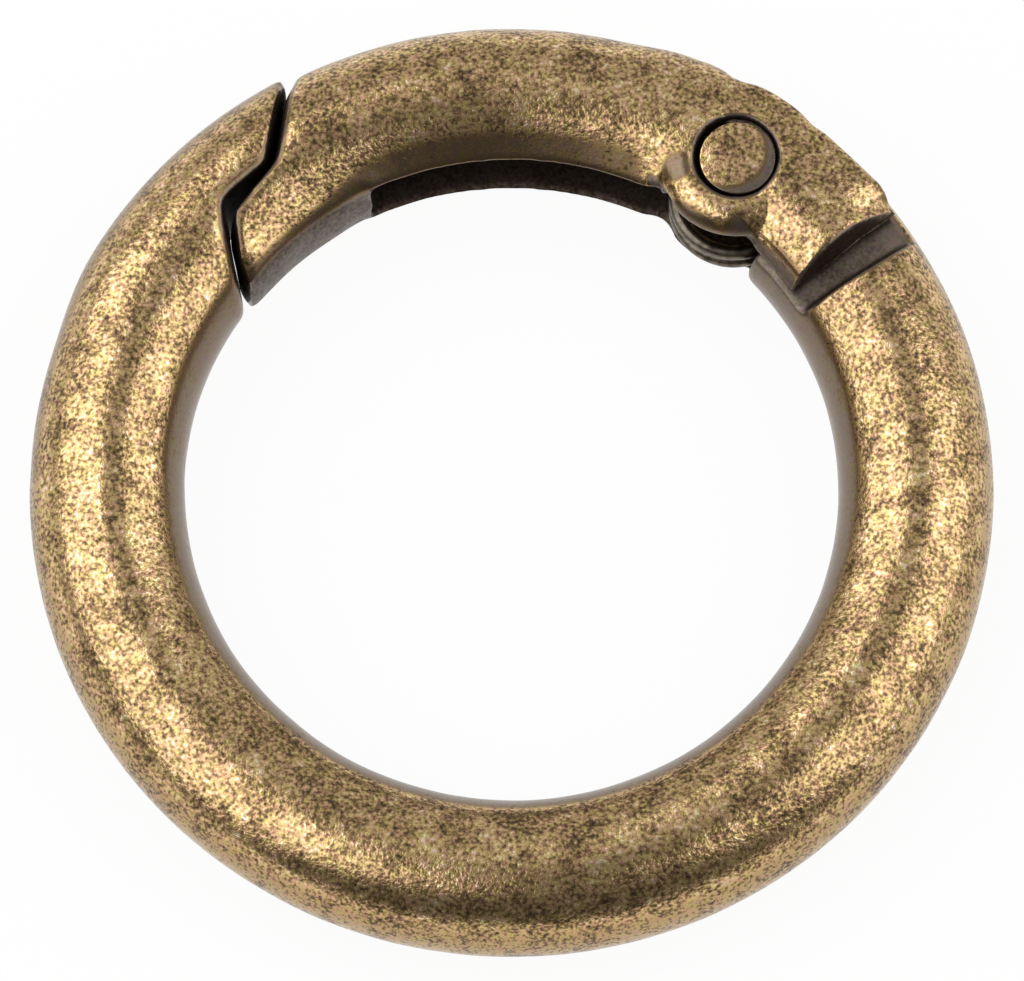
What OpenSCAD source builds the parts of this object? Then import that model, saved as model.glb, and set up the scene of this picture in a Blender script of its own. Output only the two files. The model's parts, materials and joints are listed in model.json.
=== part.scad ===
// Spring-gate ring: a round-wire ring whose gate swings inward on a riveted hinge.
// The ring lies in the XY plane with its centre at the origin. The hinge axis is parallel to Z.
// Ring angles are counted from +X, counter-clockwise seen from +Z.

/* [Ring] */
// Outer diameter of the ring
ring_od = 37; // [30:0.5:46]
// Thickness of the ring's round section
tube_d = 6; // [5:0.1:7]

/* [Hinge] */
// Place of the hinge pin around the ring, in degrees
hinge_angle = 55.4; // [50:0.2:60]
// Distance of the pin's axis inside the section's centre line
pin_inset = 0.3; // [0:0.05:0.5]
// Diameter of the pin's shank
pin_d = 2; // [1.6:0.1:2.4]
// Diameter of the pin's two heads
head_d = 2.85; // [2.6:0.05:3.2]
// Thickness of a pin head at its rim
head_t = 0.5; // [0.3:0.05:0.7]
// Height of a head's dome above its rim
head_dome = 0.08; // [0.04:0.02:0.15]
// How much wider the round bosses on the gate's cheeks are than the ring's section
boss_extra = 0.26; // [0:0.02:0.5]
// Depth of the bosses' outer faces below the ring's two sides
boss_inset = 0.15; // [0.05:0.05:0.4]
// Radius of the bosses' rounded rims
boss_round = 1.2; // [0.6:0.05:1.2]
// Height that the bosses stand out of the round section, on the ring's outside
boss_swell = 0.2; // [0:0.02:0.3]

/* [Gate] */
// Width of the gate's channel, between its two cheeks
channel_w = 3.2; // [2.8:0.05:3.4]
// Wall left between the channel and the gate's outside
roof_t = 1.4; // [1.1:0.05:1.8]
// Width of the thin edge that each rim of the channel ends in
rim_t = 0.15; // [0.1:0.05:0.3]
// Distance of the rims outside the ring's inner radius
rim_set = 0.1; // [0:0.05:0.3]
// Ring angle of the heel, where the two cheeks end
heel_angle = 35.1; // [33:0.1:37]
// Ring angle where the roof starts, on the nose's side of the pin
roof_angle = 61.8; // [61.8:0.1:66]
// How far the gate opens, in degrees
open_angle = 30; // [20:1:35]
// Ring angle where the channel ends in the solid nose
channel_end = 114.8; // [100:0.1:120]

/* [Nose and lip] */
// Ring angle of the inner corner of the body's lip
lip_angle = 127.8; // [124:0.2:132]
// Lean of the lip's face from the Y axis, in degrees
lip_lean = 9.7; // [4:0.1:14]
// Distance of the lip's seat inside the section's centre line
seat_inset = 0.1; // [0:0.05:0.5]
// Angle of the ring that the seat covers, from the lip's corner to the nose's end
seat_span = 8.2; // [6:0.1:10]
// Lean of the nose's own seat face away from the lip's seat, in degrees
seat_lean = 14; // [0:1:16]

/* [Tongue] */
// Ring angle of the shoulder, where the round section ends and the flat tongue starts
shoulder_angle = 29.9; // [27:0.1:31]
// Lean of the shoulder's face from the radial direction, in degrees
shoulder_lean = 8; // [0:0.5:9]
// Ring angle where the tongue's outer wall ends
tongue_end = 60.6; // [58:0.1:60.8]
// Radius of the tongue's eye around the pin
eye_r = 2.3; // [1.8:0.05:2.35]
// Reach of the eye's stop lug from the pin's axis
stop_r = 3.05; // [2.8:0.05:3.1]
// Thickness of the eye, beside the spring's coil
eye_t = 0.5; // [0.4:0.05:0.6]
// Radial room between the coil and the pocket that it lies in
pocket_room = 0.5; // [0.3:0.05:0.6]

/* [Spring] */
// Diameter of the spring's wire
wire_d = 0.6; // [0.4:0.05:0.6]
// Outer diameter of the coil
coil_d = 4.8; // [4.2:0.05:4.8]
// Full turns between the two legs
coil_turns = 2; // [1:1:2]
// Direction in which the loose coil is pushed against the pin, in degrees from +X
coil_push_angle = -97.5; // [-125:0.5:-95]
// Turn of the leg that bears on the gate's roof, past where it would graze the roof or the coil's outermost point
gate_leg_lean = 8; // [5:0.5:12]
// Turn of the leg that bears in the tongue, from the coil's outermost point
tongue_leg_lean = 4; // [0:0.5:8]
// Length of the leg that bears in the tongue
tongue_leg = 3.6; // [2:0.1:4]

/* [Fits] */
// Gap on each side of the tongue between the cheeks
side_gap = 0.1; // [0.05:0.01:0.15]
// Radial running clearance of the pin in the tongue's eye
pin_clearance = 0.05; // [0.02:0.01:0.1]
// Gap between the coil and the pin, and between the coil's lowest turn and the cheek
coil_gap = 0.06; // [0.03:0.01:0.1]
// Room left over the coil's highest turn, under the tongue's eye
coil_slack = 0.11; // [0.05:0.01:0.2]
// Gap around each pin head in its counterbore
head_gap = 0.2; // [0.1:0.05:0.3]
// Gap between the body and the gate's nose, along the lip and at the nose's end
nose_gap = 0.32; // [0.26:0.02:0.6]
// Gap between the nose and the lip's seat
seat_gap = 0.12; // [0.1:0.01:0.3]
// Room left around the spring's legs
leg_room = 0.15; // [0.1:0.05:0.2]
// Gap left between the open gate's roof and the stop lug
stop_gap = 0.08; // [0.05:0.01:0.15]

/* [Hidden] */

tube_r = tube_d / 2;
centre_r = ring_od / 2 - tube_r;          // radius of the section's centre line
inner_r = centre_r - tube_r;
outer_r = centre_r + tube_r;
reach = outer_r + tube_d;                 // anything this far out is clear of the ring

pin_r = pin_d / 2;
boss_r = (tube_d + boss_extra) / 2;
boss_w = tube_d - 2 * boss_inset;
head_face = boss_w / 2 - head_dome;       // height of a head's rim, its dome is flush with the boss
counterbore_z = head_face - head_t;       // floor of the counterbores
counterbore_r = head_d / 2 + head_gap;

channel_z = channel_w / 2;
roof_r = outer_r - roof_t;                // inner surface of the gate's roof
rim_r = inner_r + rim_set;
rim_z = channel_z + rim_t;

seat_r = centre_r - seat_inset;
nose_end_angle = lip_angle + seat_span;

tongue_z = channel_z - side_gap;
eye_z = tongue_z - eye_t;                 // underside of the eye

wire_r = wire_d / 2;
coil_r = coil_d / 2 - wire_r;             // radius of the coil's centre line
coil_z = coil_gap + wire_r - channel_z;   // height of the lowest turn's centre line
coil_shift = coil_d / 2 - wire_d - pin_r - coil_gap;
pocket_r = coil_d / 2 + pocket_room;

wire_sides = 10;
turn_steps = 28;                          // rings of the swept wire in one turn

join = 3;                                 // angle by which the tongue runs into the round body
cut_span = 14;                            // angle of ring that a slanted end face is cut from
neck_angle = 10;                          // the full neck ends this far short of the coil

function on_ring(r, a) = [r * cos(a), r * sin(a)];

pin_at = on_ring(centre_r - pin_inset, hinge_angle);
coil_at = pin_at + on_ring(coil_shift, coil_push_angle);
coil_angle = atan2(coil_at[1], coil_at[0]);
leg_reach = roof_r - leg_room - wire_r;   // radius at which the gate's leg meets the roof
graze_lean = acos(min(1, (leg_reach - coil_r) / norm(coil_at)));
gate_leg_angle = coil_angle + graze_lean + gate_leg_lean;
tongue_leg_angle = coil_angle - tongue_leg_lean;
wound = 360 * coil_turns + gate_leg_angle - tongue_leg_angle;
coil_rise = eye_z - coil_slack - wire_r - coil_z;
pocket_reach = norm(coil_at) + pocket_r;  // the pocket's furthest point from the ring's centre
lip_corner = on_ring(seat_r, lip_angle);
// The body's end face is an arc about the pin, so that the nose keeps its gap as it swings
end_r = norm(on_ring(seat_r, nose_end_angle) - pin_at);
nose_r = end_r - nose_gap;

$fn = 96;

// ---- shared shapes ----

// The ring's round section, swept from ring angle a0 to a1
module round_arc(a0, a1) {
    rotate_extrude(start = a0, angle = a1 - a0)
        translate([centre_r, 0])
            circle(r = tube_r);
}

// A rectangular ring sector between radii r0 and r1, heights z0 and z1, ring angles a0 and a1
module sector(r0, r1, z0, z1, a0, a1) {
    rotate_extrude(start = a0, angle = a1 - a0)
        translate([r0, z0])
            square([r1 - r0, z1 - z0]);
}

// A plan shape made into a block that is thicker than the ring
module through() {
    translate([0, 0, -tube_r - 1])
        linear_extrude(tube_d + 2)
            children();
}

// The plan to the right of the lip's face, moved right by gap
module right_of_lip(gap) {
    translate(lip_corner)
        rotate(-lip_lean)
            translate([gap, -reach])
                square([2 * reach, 2 * reach]);
}

// ---- ring body ----

// The plan that the gate's nose and its gap take out of the body
module nose_space() {
    difference() {
        right_of_lip(0);
        circle(r = seat_r);
    }
    intersection() {
        translate(pin_at) circle(r = end_r);
        circle(r = seat_r);
    }
}

// The plan beyond the shoulder's face, on the hinge's side
module beyond_shoulder() {
    translate(on_ring(centre_r, shoulder_angle))
        rotate(shoulder_angle + shoulder_lean)
            translate([-tube_d, 0])
                square([2 * tube_d, 4 * tube_d]);
}

// The round part of the body, from the lip on one side to the shoulder on the other
module body_arc() {
    difference() {
        round_arc(lip_angle - cut_span, 360 + shoulder_angle + cut_span / 2);
        intersection() {
            through() nose_space();
            sector(0, reach, -tube_d, tube_d, lip_angle - cut_span - 1, nose_end_angle + cut_span);
        }
        intersection() {
            through() beyond_shoulder();
            sector(0, reach, -tube_d, tube_d, shoulder_angle - cut_span, shoulder_angle + cut_span);
        }
    }
}

// The pocket for the coil, with its slot for one leg and its open side to the gate's channel
module spring_pocket() {
    leg_w = wire_d + 2 * leg_room;
    translate([0, 0, -tube_d]) linear_extrude(tube_d + eye_z) {
        translate(coil_at) circle(r = pocket_r);
        translate(coil_at) rotate(tongue_leg_angle)
            translate([coil_r - leg_w / 2, -tongue_leg - wire_r])
                square([leg_w, tongue_leg + wire_r]);
    }
    sector(0, pocket_reach, -tube_d, eye_z, coil_angle, coil_angle + 60);
}

// Plan of the eye round the pin. Its lug fits the roof's inner surface as it lies when the gate is open
module eye_plan() {
    translate(pin_at) circle(r = eye_r);
    intersection() {
        translate(pin_at) circle(r = stop_r);
        translate(pin_at) rotate(hinge_angle + 55) square(stop_r);
        translate(pin_at) rotate(open_angle) translate(-pin_at) circle(r = roof_r - stop_gap);
    }
}

// The flat tongue between the cheeks, flush with the ring's outside, with its thin eye on top
module tongue() {
    start = shoulder_angle - join;
    intersection() {
        round_arc(start, tongue_end);
        union() {
            sector(0, reach, -tongue_z, tongue_z, start, coil_angle - neck_angle);
            sector(norm(pin_at), reach, -tongue_z, tongue_z, start, hinge_angle);
            sector(pocket_reach, reach, -tongue_z, tongue_z, start, tongue_end);
        }
    }
    translate([0, 0, eye_z]) linear_extrude(eye_t) eye_plan();
}

module ring_body() {
    color("darkgoldenrod")
        difference() {
            union() {
                body_arc();
                tongue();
            }
            spring_pocket();
            translate([pin_at[0], pin_at[1], -tube_d])
                cylinder(r = pin_r + pin_clearance, h = 2 * tube_d);
        }
}

// ---- gate ----

// The gate's fuller section: the circle, drawn in to a flat inner face between the two rims
module gate_section() {
    corner = [rim_r - centre_r, rim_z];
    touch = atan2(corner[1], corner[0]) - acos(tube_r / norm(corner));
    translate([centre_r, 0]) {
        circle(r = tube_r);
        polygon([
            [0, 0],
            tube_r * [cos(touch), sin(touch)],
            corner,
            [corner[0], -corner[1]],
            tube_r * [cos(touch), -sin(touch)]
        ]);
    }
}

// The plan that the gate fills: all to the right of the lip, and the nose under the lip's seat
module gate_plan() {
    intersection() {
        translate(pin_at) circle(r = nose_r);
        union() {
            right_of_lip(nose_gap);
            translate(on_ring(seat_r - seat_gap, lip_angle))
                rotate(lip_angle + seat_lean)
                    translate([-2 * tube_d, -2 * tube_d])
                        square([2 * tube_d, 4 * tube_d]);
        }
    }
}

// The two bosses: a round button through the ring with rounded rims, clipped on the ring's outside
module bosses() {
    flat_r = boss_r - boss_round;
    straight_z = boss_w / 2 - boss_round;
    intersection() {
        translate(pin_at)
            rotate_extrude() {
                translate([0, -boss_w / 2]) square([flat_r, boss_w]);
                translate([0, -straight_z]) square([boss_r, 2 * straight_z]);
                for (z = [-straight_z, straight_z])
                    translate([flat_r, z]) intersection() {
                        circle(r = boss_round);
                        translate([0, -boss_round]) square(2 * boss_round);
                    }
            }
        rotate_extrude(start = hinge_angle - 20, angle = 40)
            translate([centre_r, 0]) {
                circle(r = tube_r + boss_swell);
                translate([-tube_d, -tube_r]) square([tube_d, tube_d]);
            }
    }
}

module gate() {
    color("goldenrod")
        difference() {
            union() {
                round_arc(heel_angle, roof_angle);
                intersection() {
                    rotate_extrude(start = roof_angle, angle = nose_end_angle + cut_span - roof_angle)
                        gate_section();
                    through() gate_plan();
                }
                bosses();
            }
            sector(0, roof_r, -channel_z, channel_z, heel_angle - 20, channel_end);
            sector(0, reach, -channel_z, channel_z, heel_angle - 20, roof_angle);
            translate([pin_at[0], pin_at[1], -tube_d]) cylinder(r = pin_r, h = 2 * tube_d);
            for (side = [0, 1])
                mirror([0, 0, side])
                    translate([pin_at[0], pin_at[1], counterbore_z])
                        cylinder(r = counterbore_r, h = tube_d);
        }
}

// ---- hinge pin ----

// A head: a disc with a low dome
module pin_head() {
    dome_r = (pow(head_d / 2, 2) + pow(head_dome, 2)) / (2 * head_dome);
    intersection() {
        cylinder(d = head_d, h = head_t + head_dome);
        translate([0, 0, head_t + head_dome - dome_r]) sphere(r = dome_r);
    }
}

module hinge_pin() {
    color("peru")
        translate(pin_at) {
            translate([0, 0, -counterbore_z]) cylinder(d = pin_d, h = 2 * counterbore_z);
            for (side = [0, 1])
                mirror([0, 0, side])
                    translate([0, 0, counterbore_z]) pin_head();
        }
}

// ---- torsion spring ----

// A point on the coil, a share t of the way from the gate's leg, wound clockwise and rising
function coil_point(t) =
    let (p = coil_at + on_ring(coil_r, gate_leg_angle - t * wound))
    [p[0], p[1], coil_z + t * coil_rise];

// Length of the gate's leg: from its tangent point to where the wire meets the roof
function gate_leg() =
    let (
        start = coil_at + on_ring(coil_r, gate_leg_angle),
        along = start * on_ring(1, gate_leg_angle + 90)
    )
    sqrt(along * along - start * start + leg_reach * leg_reach) - along;

// Centre line of the wire: the gate's leg, the coil, then the tongue's leg
function wire_path() =
    let (
        steps = ceil(turn_steps * wound / 360),
        coil = [for (i = [0:steps]) coil_point(i / steps)],
        first = coil[0],
        last = coil[steps],
        out_gate = on_ring(gate_leg(), gate_leg_angle + 90),
        out_tongue = on_ring(tongue_leg, tongue_leg_angle - 90)
    )
    concat(
        [[first[0] + out_gate[0], first[1] + out_gate[1], first[2]]],
        coil,
        [[last[0] + out_tongue[0], last[1] + out_tongue[1], last[2]]]
    );

// A ring of points round the path at p, square to the direction d
function wire_ring(p, d) =
    let (
        flat = [d[0], d[1], 0] / norm([d[0], d[1]]),
        side = [flat[1], -flat[0], 0],
        up = cross(side, d / norm(d))
    )
    [for (k = [0:wire_sides - 1])
        let (a = 360 * k / wire_sides)
        p + wire_r * (cos(a) * side + sin(a) * up)];

module torsion_spring() {
    path = wire_path();
    last = len(path) - 1;
    points = [
        for (i = [0:last])
            each wire_ring(path[i], path[min(i + 1, last)] - path[max(i - 1, 0)])
    ];
    walls = [
        for (i = [0:last - 1], k = [0:wire_sides - 1])
            let (n = (k + 1) % wire_sides, a = i * wire_sides, b = a + wire_sides)
            [a + k, b + k, b + n, a + n]
    ];
    start_cap = [for (k = [0:wire_sides - 1]) k];
    end_cap = [for (k = [wire_sides - 1:-1:0]) last * wire_sides + k];
    color("dimgray") polyhedron(points, concat(walls, [start_cap, end_cap]));
}

ring_body();
gate();
hinge_pin();
torsion_spring();
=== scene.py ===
import json
import math

import bpy
import numpy as np
from mathutils import Matrix, Vector


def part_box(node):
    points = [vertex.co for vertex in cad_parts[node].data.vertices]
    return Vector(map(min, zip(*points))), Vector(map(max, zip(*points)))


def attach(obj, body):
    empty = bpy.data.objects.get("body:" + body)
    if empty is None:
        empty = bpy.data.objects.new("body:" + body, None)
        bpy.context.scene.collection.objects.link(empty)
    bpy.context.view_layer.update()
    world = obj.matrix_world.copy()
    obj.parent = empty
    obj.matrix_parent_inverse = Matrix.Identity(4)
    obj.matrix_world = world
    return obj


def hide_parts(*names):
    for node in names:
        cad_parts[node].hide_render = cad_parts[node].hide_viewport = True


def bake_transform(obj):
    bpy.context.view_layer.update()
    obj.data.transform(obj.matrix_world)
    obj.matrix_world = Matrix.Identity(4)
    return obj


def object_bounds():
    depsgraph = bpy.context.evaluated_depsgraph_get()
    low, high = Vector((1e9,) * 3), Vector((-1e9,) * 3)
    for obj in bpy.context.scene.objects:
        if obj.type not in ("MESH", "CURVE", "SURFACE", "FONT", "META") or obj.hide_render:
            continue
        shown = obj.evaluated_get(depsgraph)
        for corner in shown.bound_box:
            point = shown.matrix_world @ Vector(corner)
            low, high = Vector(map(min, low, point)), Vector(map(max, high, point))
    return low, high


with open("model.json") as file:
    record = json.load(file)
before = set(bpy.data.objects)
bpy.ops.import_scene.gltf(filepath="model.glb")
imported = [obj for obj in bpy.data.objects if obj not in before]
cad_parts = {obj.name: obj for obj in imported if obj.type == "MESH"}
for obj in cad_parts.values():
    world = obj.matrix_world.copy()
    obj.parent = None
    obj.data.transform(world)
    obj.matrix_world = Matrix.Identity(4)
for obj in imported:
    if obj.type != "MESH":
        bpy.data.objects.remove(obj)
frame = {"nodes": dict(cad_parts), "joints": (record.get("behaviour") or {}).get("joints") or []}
cad_low, cad_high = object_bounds()

# ---- Ring body -----------------------------------------------------------------------------
# One zinc casting: a 6 mm round bar bent to a ring, with a lip at one end and a flat hinge
# tongue at the other. It is tumbled, which rounds every edge and leaves the bar slightly
# uneven, then plated with brass, blackened and rubbed back: an antique brass finish.

MM = 0.001
BAR_R, BAR_CENTRE_R = 3.0, 15.5    # mm, radius of the bar and of its centre line
SKIN_GRAIN = 0.08                  # mm between points of a casting's skin while it is shaped
TUMBLED, WORN = 8, 100             # smoothing passes: all over, and where the casting is most worn
UNEVEN_SIZE, UNEVEN_DEPTH = 3.6, 0.05   # mm, width and depth of the hollows that tumbling leaves
FACES = 190_000                    # triangles kept in each casting's skin
TRUED_GAP = (0.06, 0.03)           # mm off a true surface: from none to all of the way is trued
TRUED_FACING = (0.955, 0.985)      # and so for how alike the two surfaces face
HUMP_PASSES, BORDER_PASSES = 14, 16     # smoothing that tells humps from hollows, and spreads a border
CREVICE = (0.015, 0.045)           # mm that a point lies below those around it, where film starts to stay
CREVICE_FILM, BORDER_FILM = 0.9, 0.8    # how whole the film is in such hollows, and at most in a border
BORDER_SPREAD = 1.3                # how far a border reaches out of its crevice
BORE_EDGE, BORE_DEEP = 13.6, 12.9       # mm from the ring's axis, where the rubbing fades and ends
OUTSIDE, OUTSIDE_FILM_AND_SHADE = (17.6, 18.3), 0.4   # mm from the axis, and how whole the film is out there, partly painted shade
SHOULDER_ANGLE, TONGUE_Z = 29.9, 1.5    # degrees and mm, where the flat tongue starts, and its faces
SHOULDER_LEAN = 1.5                # degrees that the shoulder leans back over the tongue
LEAN_OUT, LEAN_UP = 0.35, 0.75     # degrees less for each mm outwards, and for each mm above the tongue
TONGUE_CORNER = (9.1, 8.6)         # mm in plan, the corner of the tongue that meets the coil
TONGUE_SOFT, LIP_SOFT = 0.2, 0.24  # how worn that corner is, and the lip's edges, of the most worn
LIP_START, LIP_END = 112, 164      # degrees round the ring, between which the lip is fuller
LIP_SWELL = 0.22                   # mm that the lip stands out of the round bar, on the ring's outside
GAP_SIDE = 115                     # degrees, beyond which a cut face is one of the lip's
DRAFT = 0.056                      # share of the bar's radius that a drafted face bulges at mid height
TONGUE_FILM, TONGUE_DARK = 1.1, 0.42    # the film on the tongue, and how much thicker it is inside
SHOULDER_FILM, LIP_FILM_AND_SHADE = 1.3, 2   # and on the cut faces of the shoulder and the lip; the lip's thick film also paints the gap's shade
scene = bpy.context.scene


def read(mesh, normals=False):
    """The mesh's points, or their normals, as an array."""
    source, field = (mesh.vertex_normals, "vector") if normals else (mesh.vertices, "co")
    found = np.empty(len(mesh.vertices) * 3, np.float32)
    source.foreach_get(field, found)
    return found.reshape(-1, 3).astype(float)


def write(mesh, points):
    """Moves the mesh's points to these places."""
    mesh.vertices.foreach_set("co", points.astype(np.float32).ravel())
    mesh.update()


def averaged(mesh, values, passes, share=None):
    """The values at the mesh's points, each moved to the mean of its neighbours', passes times. A
    point with a share moves only that part of the way."""
    ends = np.empty(len(mesh.edges) * 2, np.int32)
    mesh.edges.foreach_get("vertices", ends)
    a, b = ends.reshape(-1, 2).T
    near, far = np.r_[a, b], np.r_[b, a]
    share = np.ones(len(values)) if share is None else share
    near, far = near[share[near] > 0], far[share[near] > 0]
    moved = np.flatnonzero(share > 0)
    order = np.zeros(len(values), np.int64)
    order[moved] = np.arange(len(moved))
    near = order[near]
    count = np.bincount(near, minlength=len(moved))
    values = values.copy()
    for _ in range(passes):
        means = np.stack([np.bincount(near, v[far], len(moved)) / count for v in values.T], 1)
        values[moved] += share[moved, None] * (means - values[moved])
    return values


def apply(obj, kind, **settings):
    """Gives obj one modifier and makes its result obj's own mesh."""
    modifier = obj.modifiers.new(kind, kind)
    for name, value in settings.items():
        setattr(modifier, name, value)
    obj.data = bpy.data.meshes.new_from_object(obj.evaluated_get(bpy.context.evaluated_depsgraph_get()))
    obj.modifiers.clear()
    return obj.data


def ease(low, high, x):
    """0 below low, 1 above high, and smooth between them. With low above high it falls."""
    t = np.clip((x - low) / (high - low), 0, 1)
    return t * t * (3 - 2 * t)


def polar(at):
    """Each point's distance from the ring's axis, and its angle round the ring in degrees."""
    return np.hypot(at[:, 0], at[:, 1]), np.degrees(np.arctan2(at[:, 1], at[:, 0]))


def swung(at, degrees):
    """The points turned about the ring's axis, each by its own angle."""
    turn = np.radians(degrees)
    x, y = at[:, 0], at[:, 1]
    return np.c_[x * np.cos(turn) - y * np.sin(turn), x * np.sin(turn) + y * np.cos(turn), at[:, 2]]


def bar_surface(at):
    """How far each point lies outside the round bar, and the direction away from the bar."""
    around = polar(at)[0]
    off = np.stack([around - BAR_CENTRE_R, at[:, 2]], 1)
    depth = np.hypot(off[:, 0], off[:, 1]) + 1e-9
    outward = at[:, :2] * (off[:, 0] / depth / (around + 1e-9))[:, None]
    return depth - BAR_R, np.c_[outward, off[:, 1] / depth]


def cut_face(at, normal):
    """1 on the casting's cut ends, whose faces look along the ring, and 0 on its sides."""
    around = polar(at)[0]
    return ease(0.2, 0.6, np.abs(normal[:, 1] * at[:, 0] - normal[:, 0] * at[:, 1]) / around)


def inset(at):
    """1 well inside the round bar, where the casting is cut away, and 0 on the bar's surface."""
    return ease(0.02, 0.22, -bar_surface(at)[0])


def drafted(at, normal, faces, draft=DRAFT):
    """The given faces bulge out to the mould's parting, which is at the ring's middle height."""
    level = np.hypot(normal[:, 0], normal[:, 1]) + 1e-9
    out = normal[:, :2] / level[:, None] * (faces * draft * BAR_R * (1 - (at[:, 2] / BAR_R) ** 2))[:, None]
    return at + np.c_[out, np.zeros(len(at))]


def casting(name, node, surfaces, worn, shaped, unrubbed_and_shade, edged):
    """The tumbled skin of a casting: even points over the node's shape, soft edges, true curves.
    surfaces give the curves it is trued to, worn the places with softer edges, shaped the leans
    that the mould gives its faces, and unrubbed_and_shade the places where its dark film stays: 1
    where it is whole, and up to 2 where it lies thick and black, which in narrow gaps and recesses
    is partly painted shade. edged is 1 where a border of film also stays on the face beside a crevice."""
    obj = bpy.data.objects.new(name, frame["nodes"][node].data.copy())
    scene.collection.objects.link(obj)
    obj.data.transform(Matrix.Scale(1 / MM, 4))
    mesh = apply(obj, "REMESH", mode="VOXEL", voxel_size=SKIN_GRAIN)
    at = averaged(mesh, read(mesh), TUMBLED)
    write(mesh, at)
    at, normal = read(mesh), read(mesh, normals=True)
    for surface in surfaces:
        gap, away = surface(at)
        trued = ease(*TRUED_GAP, np.abs(gap)) * ease(*TRUED_FACING, (normal * away).sum(1))
        at -= away * (gap * trued)[:, None]
    write(mesh, at)
    at = shaped(at, read(mesh, normals=True))
    at = averaged(mesh, at, WORN, worn(at))
    write(mesh, at)
    normal = read(mesh, normals=True)
    raised = ((at - averaged(mesh, at, HUMP_PASSES)) * normal).sum(1)
    film_and_shade = np.maximum(unrubbed_and_shade(at, normal), CREVICE_FILM * ease(*CREVICE, -raised))
    beside = averaged(mesh, film_and_shade[:, None], BORDER_PASSES)[:, 0]
    raised *= 1 - ease(0.02, 0.2, beside)
    film_and_shade = np.maximum(film_and_shade, np.minimum(BORDER_FILM, BORDER_SPREAD * beside * edged(at)))
    for label, values in (("raised", raised), ("film_and_shade", film_and_shade)):
        mesh.attributes.new(label, "FLOAT", "POINT").data.foreach_set("value", values.astype(np.float32))
    hollows = bpy.data.textures.new("Hollows", "CLOUDS")
    hollows.noise_scale = UNEVEN_SIZE
    apply(obj, "DISPLACE", texture=hollows, strength=UNEVEN_DEPTH, mid_level=1.0, texture_coords="LOCAL")
    mesh = apply(obj, "DECIMATE", ratio=min(1, FACES / (2 * len(obj.data.polygons))))
    mesh.transform(Matrix.Scale(MM, 4))
    mesh.shade_smooth()
    mesh.materials.clear()
    return obj


def linear(hex_colour):
    """An sRGB hex colour as linear red, green, blue and alpha."""
    parts = [int(hex_colour[i:i + 2], 16) / 255 for i in (1, 3, 5)]
    return [p / 12.92 if p <= 0.04045 else ((p + 0.055) / 1.055) ** 2.4 for p in parts] + [1]


def add(tree, kind, inputs, out=0, stops=(), **settings):
    """Adds a node with its settings. Each input is a value, or the socket that feeds it, and stops
    are a colour ramp's places and colours. Returns one output, or the node if it has none."""
    node = tree.nodes.new(kind)
    for name, value in settings.items():
        setattr(node, name, value)
    for key, value in inputs.items():
        if isinstance(value, bpy.types.NodeSocket):
            tree.links.new(value, node.inputs[key])
        else:
            node.inputs[key].default_value = value
    for index, (place, colour) in enumerate(stops):
        band = node.color_ramp.elements
        element = band[index] if index < len(band) else band.new(place)
        element.position, element.color = place, colour
    return node.outputs[out] if len(node.outputs) else node


def blank(name):
    """A new material and its empty node tree."""
    material = bpy.data.materials.new(name)
    material.use_nodes = True
    material.node_tree.nodes.clear()
    return material, material.node_tree


# Antique brass plate: brass shows through a dark brown film that is rubbed away on every hump and
# edge, in fine grains and soft patches. Out of the rubbing's reach the film is whole and smooth,
# brown at its border and greyer beyond. In crevices, narrow gaps and seats it lies thick, black and
# dull: partly real film, and partly painted shade where those narrow places fall dark.
DARK_FILM, THIN_FILM, BRASS, BRIGHT_BRASS = "#4A3F34", "#8E7657", "#C8AA7E", "#ECCE9E"
# The thick film's near-black colour is partly real film and partly painted shade in narrow gaps.
FILM_EDGE, WHOLE_FILM, THICK_FILM_AND_SHADE = "#7A6448", "#867C76", "#372C24"
# The near-white last colour is a painted glint on the brightest grains.
PAINTED_GLINT = "#FFF0DA"
GRAIN, PATCH, TINT = 0.16, 1.1, 0.3     # mm, widths of the grains, the patches and the tinted spots

brass, tree = blank("Antique brass plate")
place = add(tree, "ShaderNodeTexCoord", {}, out="Object")
patterns = {}
for label, size, detail, roughness in (
        ("grain", GRAIN, 1, 0.6), ("patch", PATCH, 4, 0.7), ("tint", TINT, 2, 0.6)):
    patterns[label] = add(tree, "ShaderNodeTexNoise", {
        "Vector": place, "Scale": 1 / (size * MM), "Detail": detail, "Roughness": roughness})
raised = add(tree, "ShaderNodeAttribute", {}, out="Fac", attribute_name="raised")
rubbed = -1.0
for pattern, weight in ((patterns["patch"], 1.35), (patterns["grain"], 1.7), (raised, 3.0)):
    rubbed = add(tree, "ShaderNodeMath", {0: pattern, 1: weight, 2: rubbed}, operation="MULTIPLY_ADD")
plate = add(tree, "ShaderNodeValToRGB", {0: rubbed}, stops=(
    (0.05, linear(DARK_FILM)), (0.38, linear(THIN_FILM)), (0.62, linear(BRASS)),
    (0.9, linear(BRIGHT_BRASS)), (1.0, linear(PAINTED_GLINT))))
# The film attribute runs from rubbed brass at 0 to thick film at 2; its thick end is partly painted shade.
film_and_shade = add(tree, "ShaderNodeAttribute", {}, out="Fac", attribute_name="film_and_shade")
ragged = add(tree, "ShaderNodeMath", {0: patterns["patch"], 1: 0.7, 2: film_and_shade}, operation="MULTIPLY_ADD")
ragged = add(tree, "ShaderNodeMath", {0: patterns["grain"], 1: 0.9, 2: ragged}, operation="MULTIPLY_ADD")
edge = add(tree, "ShaderNodeMapRange", {0: ragged, 1: 1.2, 2: 1.5})
whole = add(tree, "ShaderNodeMapRange", {0: ragged, 1: 1.4, 2: 2.1})
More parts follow.
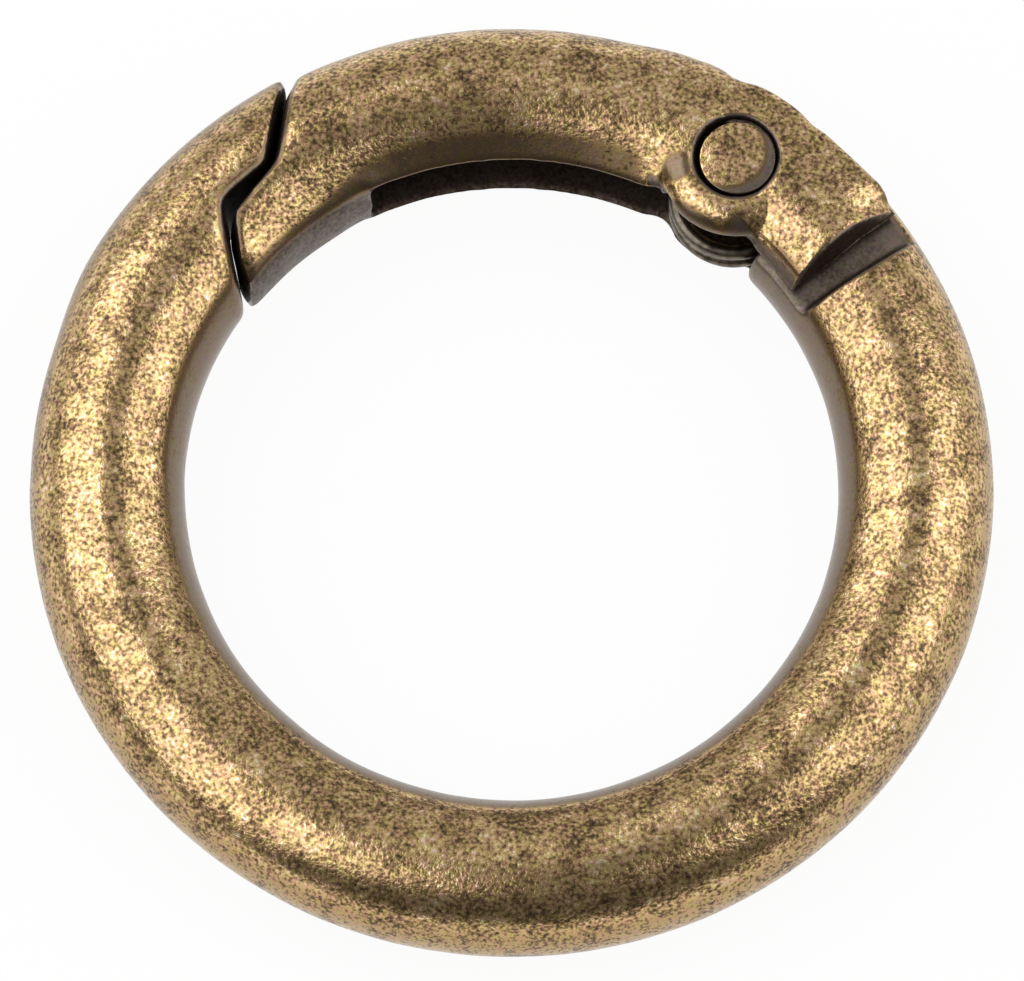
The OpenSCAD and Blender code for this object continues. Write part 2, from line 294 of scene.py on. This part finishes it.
# Where the film is thick it turns black and dull: partly real film, partly painted shade in narrow places.
thick_film_and_shade = add(tree, "ShaderNodeMapRange", {0: ragged, 1: 1.8, 2: 2.8})
film_and_shade_colour = add(tree, "ShaderNodeMix", {0: whole, 6: linear(FILM_EDGE), 7: linear(WHOLE_FILM)},
                  out=2, data_type="RGBA")
film_and_shade_colour = add(tree, "ShaderNodeMix", {0: thick_film_and_shade, 6: film_and_shade_colour, 7: linear(THICK_FILM_AND_SHADE)},
                  out=2, data_type="RGBA")
colour = add(tree, "ShaderNodeMix", {0: edge, 6: plate, 7: film_and_shade_colour}, out=2, data_type="RGBA")
tints = add(tree, "ShaderNodeValToRGB", {0: patterns["tint"]}, stops=(
    (0.35, linear("#F8FFE0")), (0.65, linear("#FFEFFA"))))
colour = add(tree, "ShaderNodeMix", {0: 1.0, 6: colour, 7: tints},
             out=2, data_type="RGBA", blend_type="MULTIPLY")
gloss = add(tree, "ShaderNodeMapRange", {0: rubbed, 1: 0.0, 2: 1.0, 3: 0.34, 4: 0.2})
gloss = add(tree, "ShaderNodeMix", {0: thick_film_and_shade, 2: gloss, 3: 0.6}, data_type="FLOAT")
grain_height = add(tree, "ShaderNodeMix", {0: edge, 2: patterns["grain"], 3: patterns["patch"]},
                   data_type="FLOAT")
bumps = add(tree, "ShaderNodeBump", {"Strength": 0.8, "Distance": 0.02 * MM, "Height": grain_height})
surface = add(tree, "ShaderNodeBsdfPrincipled", {
    "Base Color": colour, "Metallic": 1.0, "Roughness": gloss, "Normal": bumps})
add(tree, "ShaderNodeOutputMaterial", {"Surface": surface})


def body_shape(at, normal):
    """The lip is full on the outside and its faces have the mould's draft, and the shoulder leans
    back above the tongue."""
    around, angle = polar(at)
    gap, away = bar_surface(at)
    fuller = LIP_SWELL * ease(LIP_END, LIP_END - 14, angle) * ease(LIP_START, LIP_START + 4, angle)
    fuller = fuller * ease(BAR_CENTRE_R, BAR_CENTRE_R + 2, around) * ease(0.4, 0.1, -gap)
    at = at + away * fuller[:, None]
    near = ease(22, 29.5, angle) * ease(38, 33, angle)
    above = np.maximum(np.abs(at[:, 2]) - TONGUE_Z, 0)
    lean = SHOULDER_LEAN - LEAN_OUT * (around - BAR_CENTRE_R) - LEAN_UP * above
    return drafted(swung(at, near * lean), normal, cut_face(at, normal) * (angle > GAP_SIDE))


def body_worn(at):
    """The lip's edges are soft, and so is the tongue's corner beside the coil."""
    corner = ease(1.2, 0.6, np.hypot(*(at[:, :2] - TONGUE_CORNER).T))
    return np.maximum(LIP_SOFT * ease(112, 118, polar(at)[1]), TONGUE_SOFT * corner)


def sides_film_and_shade(at):
    """The rubbing reaches the ring's inner and outer sides less than its two faces. On the outer side the
    film is partly painted shade, darkening the table's white in the ring's reflection.
    """
    around = polar(at)[0]
    return np.maximum(ease(BORE_EDGE, BORE_DEEP, around), OUTSIDE_FILM_AND_SHADE * ease(*OUTSIDE, around))


def body_unrubbed_and_shade(at, normal):
    """The rubbing misses the bore, the lip's faces, and all of the tongue but its outer edge. The lip's
    faces get the thick black film, which also paints the shade of the narrow gap at the nose.
    """
    around, angle = polar(at)
    outward = (normal[:, :2] * at[:, :2]).sum(1) / around
    tongue = ease(SHOULDER_ANGLE, SHOULDER_ANGLE + 1, angle) * ease(120, 110, angle) * ease(0.6, 0.4, outward)
    tongue *= TONGUE_FILM + TONGUE_DARK * ease(12.6, 13.2, around) * ease(18.2, 16.8, around)
    # The lip's thick film is partly painted shade of the gap under the nose.
    lip = LIP_FILM_AND_SHADE * inset(at) * (angle > GAP_SIDE)
    shoulder = SHOULDER_FILM * cut_face(at, normal) * (angle > 26) * (angle < GAP_SIDE)
    return np.maximum.reduce([sides_film_and_shade(at), tongue, lip, shoulder])


def gap_edges(at):
    """The faces on both sides of the gap between the nose and the lip."""
    return ease(110, 114, polar(at)[1])


ring_body = casting("ring_body_cast", "ring_body", [bar_surface],
                    body_worn, body_shape, body_unrubbed_and_shade, gap_edges)
ring_body.data.materials.append(brass)
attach(ring_body, "ring")
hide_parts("ring_body")

# ---- Gate ----------------------------------------------------------------------------------
# The second zinc casting. Its channel is open to the ring's inside, its two cheeks carry round
# bosses for the rivet, and its solid nose shuts under the body's lip. Same tumbling and plate.

CHANNEL_HALF, CHANNEL_ROOF_R = 1.6, 17.1    # mm, half the channel's width, and the roof over it
ROOF_START, CHANNEL_END = 61.8, 114.8   # degrees round the ring, the ends of the channel's roof
RIM_R, RIM_Z = 12.6, 1.75          # mm, where the fuller flank ends in the channel's rim
BOSS_R = 3.13                      # mm, outer radius of the bosses
BOSS_FLAT_R, BOSS_STRAIGHT_Z, BOSS_ROUND = 1.93, 1.65, 1.2      # mm, the sizes of their rounded edges
SWELL_AT = (12, 30, 40, 50, 60, 72)     # degrees up the bar from the ring's outside
SWELL = (0, 0.50, 0.56, 0.45, 0.25, 0)  # mm that the cheeks stand out of the round bar there
HEEL_SWELL = 0.2                   # share of that which reaches the heel's end
CHEEK_EDGE, CHEEK_EDGE_TOP = 0.15, 60   # mm more at the cheeks' inner edges, up to so many degrees
HEEL_LEAN = 0.95                   # degrees that the heel leans back for each mm above the channel
HEEL_HOOK, HEEL_HOOK_R = 0.35, 16.4     # degrees less for each mm inside this radius
HEEL_LIFT = 0.3                    # mm, the heel's clearance above the tongue, where it is widest
NOSE_BULGE = 1.15                  # the draft of the nose's faces, as a share of the lip's
SEAT_BULGE, INNER_LESS = 0.2, 0.45      # how much more that is at the slanted seat, and less inside it
LAND_FULL = 0.1                    # mm that the nose's inner land stands in towards the ring's axis
BOSS_BEVEL, BACK_BOSS_LESS = 0.25, 0.2  # mm cut from the bosses beside the coil, and from the back one
SEAT_R, SEAT_CLOSER = 1.625, 0.05  # mm, radius of the rivet heads' seats, and how far the plate closes them
FACET, FACET_R = (6.35, 12.15), 0.5     # mm, a flat beside the upper boss that the rubbing misses
BOSS_CORNER = (5.75, 11.3)         # mm in plan, where the boss meets the gate's bore
ROOF_CORNER = (8.75, 16.3)         # mm in plan, the outer corner where the roof stops above the tongue
NOSE_CUT = ((-10.41, 7.90), (-9.92, 7.46))      # mm in plan, two points on the flat that blunts the nose
NOSE_SOFT = 0.1                    # mm, how far that flat's edges are rounded
NOSE_FACE = 117                    # degrees, beyond which the gate's cut faces are the nose's
hinge = frame["joints"][0]
pin_at = np.array(hinge["pos_m"][:2]) / MM


def flank_surface(at):
    """The straight flank between the round bar and the rim, on both sides of the gate."""
    corner = np.array([RIM_R - BAR_CENTRE_R, RIM_Z])
    touch = math.atan2(corner[1], corner[0]) - math.acos(BAR_R / np.hypot(*corner))
    facing = np.array([math.cos(touch), math.sin(touch)])
    around = polar(at)[0]
    off = np.stack([around - BAR_CENTRE_R, np.abs(at[:, 2])], 1)
    along = off @ np.array([-facing[1], facing[0]])
    gap = off @ facing - BAR_R
    outward = at[:, :2] * (facing[0] / around)[:, None]
    return np.where(along > 0, gap, 1), np.c_[outward, np.sign(at[:, 2]) * facing[1]]


def boss_surface(at):
    """The rounded edge of the bosses about the rivet."""
    across = at[:, :2] - pin_at
    around = np.hypot(across[:, 0], across[:, 1]) + 1e-9
    off = np.stack([around - BOSS_FLAT_R, np.abs(at[:, 2]) - BOSS_STRAIGHT_Z], 1)
    depth = np.hypot(off[:, 0], off[:, 1]) + 1e-9
    outward = across * (off[:, 0] / depth / around)[:, None]
    upward = np.sign(at[:, 2]) * off[:, 1] / depth
    return np.where(off.min(1) > 0, depth - BOSS_ROUND, 1), np.c_[outward, upward]


def gate_shape(at, normal):
    """The nose has the mould's draft, the heel leans back and clears the tongue, the cheeks are full
    on the outside, and the bosses are cut back beside the coil."""
    around, angle = polar(at)
    seat = ease(14.4, 14.7, around) * ease(15.0, 14.8, around)
    bulge = NOSE_BULGE - INNER_LESS * ease(14.6, 14.3, around) + SEAT_BULGE * seat
    at = drafted(at, normal, cut_face(at, normal) * (angle > NOSE_FACE + 2), DRAFT * bulge)
    around, angle = polar(at)
    leaned = HEEL_LEAN * np.maximum(np.abs(at[:, 2]) - CHANNEL_HALF, 0)
    leaned = leaned + HEEL_HOOK * np.minimum(around - HEEL_HOOK_R, 0)
    at = swung(at, leaned * ease(46, 36, angle))
    gap, away = bar_surface(at)
    height = np.abs(at[:, 2])
    upward = np.degrees(np.arctan2(height, around - BAR_CENTRE_R))
    along = HEEL_SWELL + (1 - HEEL_SWELL) * ease(35, 41, angle)
    along = along * (0.5 * ease(78, 68, angle) + 0.5 * ease(68, 58, angle))
    edges = CHEEK_EDGE * ease(2.3, 1.75, height) * ease(ROOF_START, ROOF_START - 1.5, angle)
    fuller = (np.interp(upward, SWELL_AT, SWELL) + edges * (upward < CHEEK_EDGE_TOP)) * along
    at += away * (np.maximum(fuller - gap, 0) * (fuller > 0) * (normal * away).sum(1).clip(0, 1))[:, None]
    land = LAND_FULL * ease(118, 122, angle) * ease(13.0, 12.6, around)
    at[:, :2] *= (1 - land / around)[:, None]
    across = at[:, :2] - pin_at
    from_pin = np.hypot(across[:, 0], across[:, 1])
    height = np.abs(at[:, 2])
    closer = SEAT_CLOSER * ease(2.0, 1.7, from_pin) * ease(1.45, 1.55, from_pin) * ease(2.2, 2.35, height)
    inner_rim = ease(2.4, 2.8, from_pin) * ease(3.6, 3.25, from_pin) * ease(13.4, 12.9, around)
    bevel = np.maximum(BOSS_BEVEL * ease(2.2, 1.65, height), BACK_BOSS_LESS * (at[:, 2] < -1.5))
    closer += inner_rim * bevel
    at[:, :2] -= across * (closer / (from_pin + 1e-9))[:, None]
    lifted = HEEL_LIFT * ease(42, 37, angle) * ease(1.8, 1.62, height) * ease(11, 19, around)
    at[:, 2] += np.sign(at[:, 2]) * lifted
    first, second = np.array(NOSE_CUT)
    facing = np.array([second[1] - first[1], first[0] - second[0]]) / np.hypot(*(second - first))
    over = (at[:, :2] - first) @ facing
    at[:, :2] -= facing * (np.clip(over + NOSE_SOFT, 0, 2 * NOSE_SOFT) ** 2 / (4 * NOSE_SOFT)
                           + np.maximum(over - NOSE_SOFT, 0))[:, None]
    return at


def gate_worn(at):
    """The nose's edges are soft, its inner land is worn to one smooth face, and the outer side of
    the bosses runs smoothly into the cheeks. Four small places are worn too: the channel's rim, the
    corners of the boss and the roof, and the facet. Each is a share of the most worn."""
    around, angle = polar(at)
    from_pin, from_corner, from_facet, from_roof = (
        np.hypot(*(at[:, :2] - place).T) for place in (pin_at, BOSS_CORNER, FACET, ROOF_CORNER))
    nose = LIP_SOFT * ease(112, 118, angle)
    land = ease(CHANNEL_END, NOSE_FACE, angle) * ease(13.6, 13.1, around)
    blend = 0.35 * ease(38, 42, angle) * ease(80, 74, angle) * ease(16.2, 16.8, around)
    blend = blend * ease(1.7, 2.0, np.abs(at[:, 2])) * ease(2.0, 2.4, from_pin)
    rim = 0.15 * ease(58, 64, angle) * ease(13.0, 12.8, around)
    corner = 0.5 * ease(0.8, 0.4, from_corner)
    facet = 0.15 * ease(1.3, 0.7, from_facet) * ease(1.8, 2.1, at[:, 2])
    roof = 0.5 * ease(1.1, 0.5, from_roof)
    return np.maximum.reduce([nose, land, blend, rim, corner, facet, roof])


def gate_unrubbed_and_shade(at, normal):
    """The rubbing misses the channel and its rim, the bore, the seats of the rivet's heads, the
    undersides of the cheeks, and the faces of the heel and the nose. The factors from 0.4 to 2 are
    how thick the film lies in each place. The thickest, black film in the channel, under the cheeks,
    on the heel's and the nose's faces and in the seats is partly painted shade of those narrow places."""
    around, angle = polar(at)
    height = np.abs(at[:, 2])
    from_pin = np.hypot(*(at[:, :2] - pin_at).T)
    wall = np.where(around < 13, BAR_R, CHANNEL_HALF + 0.1)
    channel = 1.8 * ((height < RIM_Z - 0.03) & (height < wall)
                     & (around < CHANNEL_ROOF_R + 0.1) & (angle < CHANNEL_END + 0.5))
    band = ease(128, 108, angle)
    flank = 0.72 * ease(13.2 + 0.9 * band, 12.8 + 0.6 * band, around) * ease(BOSS_R, BOSS_R + 0.9, from_pin)
    bore = 1.6 * ease(12.85, 12.6, around)
    bore = np.where(from_pin < BOSS_R + 0.1, ease(12.9, 12.3, around), bore)
    bore = np.maximum(bore, 1.3 * ease(13.5, 13.2, around) * ease(52, 48, angle))
    # The seats' thick film is partly painted shade of the gap round the rivet's heads.
    seat = 1.75 * ease(SEAT_R + 0.2, SEAT_R, from_pin)
    from_facet = np.hypot(*(at[:, :2] - FACET).T)
    facet = 0.9 * ease(FACET_R + 0.4, FACET_R - 0.2, from_facet) * (at[:, 2] > 1.5)
    facing_in = normal[:, 2] * np.sign(at[:, 2]) < -0.35
    under = 1.8 * (facing_in & (height < CHANNEL_HALF + 0.7) & (angle < ROOF_START + 2.2))
    bevel = 1.6 * ease(2.15, 2.0, height) * ease(2.5, 2.7, from_pin)
    bevel = bevel * ease(13.5, 13.2, around) * ease(3.6, 3.3, from_pin)
    heel = 1.7 * cut_face(at, normal) * (angle < 38)
    # The nose's thick film is partly painted shade of the gap under the lip.
    nose = LIP_FILM_AND_SHADE * inset(at) * (angle > NOSE_FACE)
    # On the gate's outer side the film is partly painted shade, as on the body's.
    outer = np.where(from_pin > BOSS_R, OUTSIDE_FILM_AND_SHADE * ease(*OUTSIDE, around), 0)
    return np.maximum.reduce([channel, flank, bore, seat, facet, under, bevel, heel, nose, outer])


gate = casting("gate_cast", "gate", [bar_surface, flank_surface, boss_surface],
               gate_worn, gate_shape, gate_unrubbed_and_shade, gap_edges)
gate.data.materials.append(brass)
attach(gate, "gate_arm")
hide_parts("gate")

# ---- Rivet ---------------------------------------------------------------------------------
# A steel rivet through both cheeks and the body's eye. Its preformed head and its set head are
# low domes, plated and rubbed as the ring is, with a dark ring round each in its seat: partly film,
# and partly painted shade of the narrow gap there.

RIVET_R, HEAD_R, HEAD_EDGE = 1.0, 1.465, 0.07   # mm, the last is the worn rounding of the rim
HEAD_DOME, HEAD_SIDE, HEAD_BEVEL = 0.08, 0.48, 0.25     # mm, the dome, the height under it, the bevel
HEAD_OFF = (0.05, -0.05)           # mm that the heads lie off the rivet's axis
FILM_OFF = (-0.35, 0.28)           # mm from the head's centre to that of its rubbed patch
HEAD_FILM, RIM_FILM_AND_SHADE = 1.45, 2      # how thick the film is round that patch, and on the head's side, where it is partly painted shade
HEAD_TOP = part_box("hinge_pin")[1][2] / MM
HEAD_SEAT = HEAD_TOP - HEAD_DOME - HEAD_SIDE
TURNS = 128                        # points round the rivet

dome_r = (HEAD_R ** 2 + HEAD_DOME ** 2) / (2 * HEAD_DOME)
outline = [(0.0, HEAD_TOP)]
outline += [(r, HEAD_TOP - dome_r + math.sqrt(dome_r ** 2 - r ** 2))
            for r in np.linspace(0.05, HEAD_R - HEAD_EDGE, 26)]
edge_z = outline[-1][1] - HEAD_EDGE
outline += [(HEAD_R - HEAD_EDGE + HEAD_EDGE * math.sin(a), edge_z + HEAD_EDGE * math.cos(a))
            for a in np.linspace(0.25, math.pi / 2, 7)]
outline += [(HEAD_R, HEAD_SEAT + HEAD_BEVEL), (HEAD_R - HEAD_BEVEL, HEAD_SEAT), (RIVET_R, HEAD_SEAT)]
outline += [(r, -z) for r, z in reversed(outline)]
rings = outline[1:-1]
rim_points = []
for r, z in rings:
    centre = pin_at + (HEAD_OFF if r > RIVET_R or abs(z) > HEAD_SEAT else (0, 0))
    rim_points += [(centre[0] + r * math.cos(t), centre[1] + r * math.sin(t), z)
                   for t in np.linspace(0, 2 * math.pi, TURNS, endpoint=False)]
faces = [(i * TURNS + k, (i + 1) * TURNS + k, (i + 1) * TURNS + (k + 1) % TURNS, i * TURNS + (k + 1) % TURNS)
         for i in range(len(rings) - 1) for k in range(TURNS)]
top, bottom = len(rim_points), len(rim_points) + 1
faces += [(top, k, (k + 1) % TURNS) for k in range(TURNS)]
last = (len(rings) - 1) * TURNS
faces += [(bottom, last + (k + 1) % TURNS, last + k) for k in range(TURNS)]
rivet_mesh = bpy.data.meshes.new("rivet")
head_at = pin_at + HEAD_OFF
tips = [(*head_at, HEAD_TOP), (*head_at, -HEAD_TOP)]
rivet_mesh.from_pydata([Vector(p) * MM for p in rim_points + tips], [], faces)
rivet_mesh.shade_smooth()
at = read(rivet_mesh) / MM
hollow_side = np.hypot(*(at[:, :2] - head_at - FILM_OFF).T)
from_centre = np.hypot(*(at[:, :2] - head_at).T)
# The head's side gets thick film, partly painted shade of the gap in its seat.
film_and_shade = np.maximum(HEAD_FILM * ease(1.15, 1.8, hollow_side),
                  RIM_FILM_AND_SHADE * ease(HEAD_R - 0.03, HEAD_R, from_centre))
for label, values in (("raised", np.zeros(len(at))), ("film_and_shade", film_and_shade)):
    rivet_mesh.attributes.new(label, "FLOAT", "POINT").data.foreach_set("value", values.astype(np.float32))
rivet = bpy.data.objects.new("rivet", rivet_mesh)
scene.collection.objects.link(rivet)
rivet_mesh.materials.append(brass)
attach(rivet, "gate_arm")
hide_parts("hinge_pin")

# ---- Torsion spring ------------------------------------------------------------------------
# Hard-drawn steel wire wound twice round the rivet, in the pocket under the body's eye. One leg
# bears on the gate's roof and the other in the tongue. The antique bath has darkened it.

WIRE_R, COIL_R = 0.3, 2.18         # mm, radii of the wire and of the coil's centre line
COIL_LOW, COIL_RISE = -1.24, 1.83  # mm, height of the first turn, and the rise to the last
COIL_PUSH, COIL_PUSH_ANGLE = 0.82, -97.5   # mm and degrees, how far the loose coil lies off the rivet
GATE_LEG, GATE_LEAN = 4.47, 8      # mm and degrees, the leg's length, and its lean off the coil's start
TONGUE_LEG, TONGUE_LEAN = 3.6, 4   # the same for the leg in the tongue
TURN_STEPS, WIRE_STEPS = 72, 6     # points in a turn of the coil, and steps in the wire's round
STEEL, STAINED_STEEL, STAIN = "#857C6F", "#4A443A", 0.3     # the last is the stains' width in mm


def turned(angle, radius):
    """The point at this radius and angle in plan."""
    return radius * np.array([math.cos(math.radians(angle)), math.sin(math.radians(angle))])


coil_at = pin_at + turned(COIL_PUSH_ANGLE, COIL_PUSH)
coil_angle = math.degrees(math.atan2(coil_at[1], coil_at[0]))
first, final = coil_angle + GATE_LEAN, coil_angle - TONGUE_LEAN - 720
steps = int(TURN_STEPS * (first - final) / 360)
path = [(*(coil_at + turned(first + (final - first) * i / steps, COIL_R)),
         COIL_LOW + COIL_RISE * i / steps) for i in range(steps + 1)]
gate_end = np.array(path[0][:2]) + turned(first + 90, GATE_LEG)
tongue_end = np.array(path[-1][:2]) + turned(final - 90, TONGUE_LEG)
path = [(*gate_end, path[0][2])] + path + [(*tongue_end, path[-1][2])]
wire = bpy.data.curves.new("wire", "CURVE")
wire.dimensions, wire.use_fill_caps = "3D", True
wire.bevel_depth, wire.bevel_resolution = WIRE_R * MM, WIRE_STEPS
line = wire.splines.new("POLY")
line.points.add(len(path) - 1)
for point, place_mm in zip(line.points, path):
    point.co = (*(c * MM for c in place_mm), 1)
wire_object = bpy.data.objects.new("wire", wire)
scene.collection.objects.link(wire_object)
wire_shape = wire_object.evaluated_get(bpy.context.evaluated_depsgraph_get())
spring_mesh = bpy.data.meshes.new_from_object(wire_shape)
bpy.data.objects.remove(wire_object)
spring_mesh.shade_smooth()
spring = bpy.data.objects.new("spring", spring_mesh)
scene.collection.objects.link(spring)

# Blackened spring steel: dark, soft-edged stains over a dull grey-brown sheen.
steel, tree = blank("Drawn spring wire")
place = add(tree, "ShaderNodeTexCoord", {}, out="Object")
stain = add(tree, "ShaderNodeTexNoise", {"Vector": place, "Scale": 1 / (STAIN * MM), "Detail": 3})
colour = add(tree, "ShaderNodeValToRGB", {0: stain}, stops=(
    (0.3, linear(STAINED_STEEL)), (0.7, linear(STEEL))))
surface = add(tree, "ShaderNodeBsdfPrincipled", {"Base Color": colour, "Metallic": 1.0, "Roughness": 0.32})
add(tree, "ShaderNodeOutputMaterial", {"Surface": surface})
spring_mesh.materials.clear()
spring_mesh.materials.append(steel)
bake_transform(spring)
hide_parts("torsion_spring")

# ---- Table and light -----------------------------------------------------------------------
# The ring lies flat on a white table. A large softbox on its left and a smaller one on its right
# draw the two bright lines along the bar, and the room in front of it is dark.

TABLE_R, TABLE_SIDES = 2.2, 96     # m
TABLE_SHADE, TABLE_LIT = 0.9, 0.94      # the paper's grey, and how much of its light is its own
VIEW_HEIGHT = 72.8                 # degrees above the table
VIEW_DISTANCE = 0.5                # m
VIEW_WIDTH = 39.26 * MM            # what the picture takes in at the ring
VIEW_AT = (0.015, -0.068, 0)       # mm, the point that the camera looks at
SENSOR = 36                        # mm
SOFTBOX_DISTANCE = 0.5             # m
SOFTBOXES = (                      # azimuth and height in degrees, width and height in m, radiance
    ("left", -88, 47, 0.84, 0.64, 1.55),
    ("right", 88, 38, 0.6, 0.55, 1.42),
)
ROOM = ((0.0, 0.14), (0.45, 0.2), (0.62, 0.53), (1.0, 0.6))     # from the front to the back, and its grey

table_mesh = bpy.data.meshes.new("table")
rim = [(TABLE_R * math.cos(t), TABLE_R * math.sin(t), cad_low.z)
       for t in np.linspace(0, 2 * math.pi, TABLE_SIDES, endpoint=False)]
table_mesh.from_pydata(rim, [], [list(range(TABLE_SIDES))])
table = bpy.data.objects.new("table", table_mesh)
scene.collection.objects.link(table)

# White paper: an even white to the eye and in the ring's reflections, with the ring's soft shadow.
white, tree = blank("White table")
light_path = add(tree, "ShaderNodeLightPath", {}, out="Is Camera Ray").node
seen = light_path.outputs["Is Camera Ray"]
for ray in ("Is Glossy Ray", "Is Transmission Ray"):
    seen = add(tree, "ShaderNodeMath", {0: seen, 1: light_path.outputs[ray]}, operation="MAXIMUM")
seen = add(tree, "ShaderNodeMath", {0: seen, 1: TABLE_LIT}, operation="MULTIPLY")
paper = add(tree, "ShaderNodeBsdfDiffuse", {"Color": (TABLE_SHADE, TABLE_SHADE, TABLE_SHADE, 1)})
lit = add(tree, "ShaderNodeEmission", {"Color": (1, 1, 1, 1), "Strength": 1.0})
surface = add(tree, "ShaderNodeMixShader", {0: seen, 1: paper, 2: lit})
add(tree, "ShaderNodeOutputMaterial", {"Surface": surface})
table_mesh.materials.append(white)

for name, azimuth, height, wide, tall, radiance in SOFTBOXES:
    lamp = bpy.data.lights.new(name, "AREA")
    lamp.shape, lamp.size, lamp.size_y = "RECTANGLE", wide, tall
    lamp.energy = radiance * math.pi * wide * tall
    softbox = bpy.data.objects.new(name, lamp)
    a, e = math.radians(azimuth), math.radians(height)
    towards = Vector((math.sin(a) * math.cos(e), -math.cos(a) * math.cos(e), math.sin(e)))
    softbox.location = towards * SOFTBOX_DISTANCE
    softbox.rotation_euler = towards.to_track_quat("Z", "Y").to_euler()
    softbox.visible_camera = False
    scene.collection.objects.link(softbox)

world = bpy.data.worlds.new("Studio")
scene.world = world
world.use_nodes = True
tree = world.node_tree
tree.nodes.clear()
aim = add(tree, "ShaderNodeTexCoord", {}, out="Generated")
depth = add(tree, "ShaderNodeSeparateXYZ", {0: aim}, out="Y")
depth = add(tree, "ShaderNodeMapRange", {0: depth, 1: -1.0, 2: 1.0})
stops = [(place, (grey, grey, grey, 1)) for place, grey in ROOM]
room = add(tree, "ShaderNodeValToRGB", {0: depth}, stops=stops)
surface = add(tree, "ShaderNodeBackground", {"Color": room, "Strength": 1.0})
add(tree, "ShaderNodeOutputWorld", {"Surface": surface})

camera = bpy.data.cameras.new("camera")
camera.sensor_width = SENSOR
camera.lens = SENSOR * VIEW_DISTANCE / VIEW_WIDTH
eye = bpy.data.objects.new("camera", camera)
e = math.radians(VIEW_HEIGHT)
back = Vector((0, -math.cos(e), math.sin(e)))
eye.location = Vector(VIEW_AT) * MM + back * VIEW_DISTANCE
eye.rotation_euler = back.to_track_quat("Z", "Y").to_euler()
scene.collection.objects.link(eye)
scene.camera = eye
scene.view_settings.view_transform = "Standard"

bpy.context.view_layer.update()
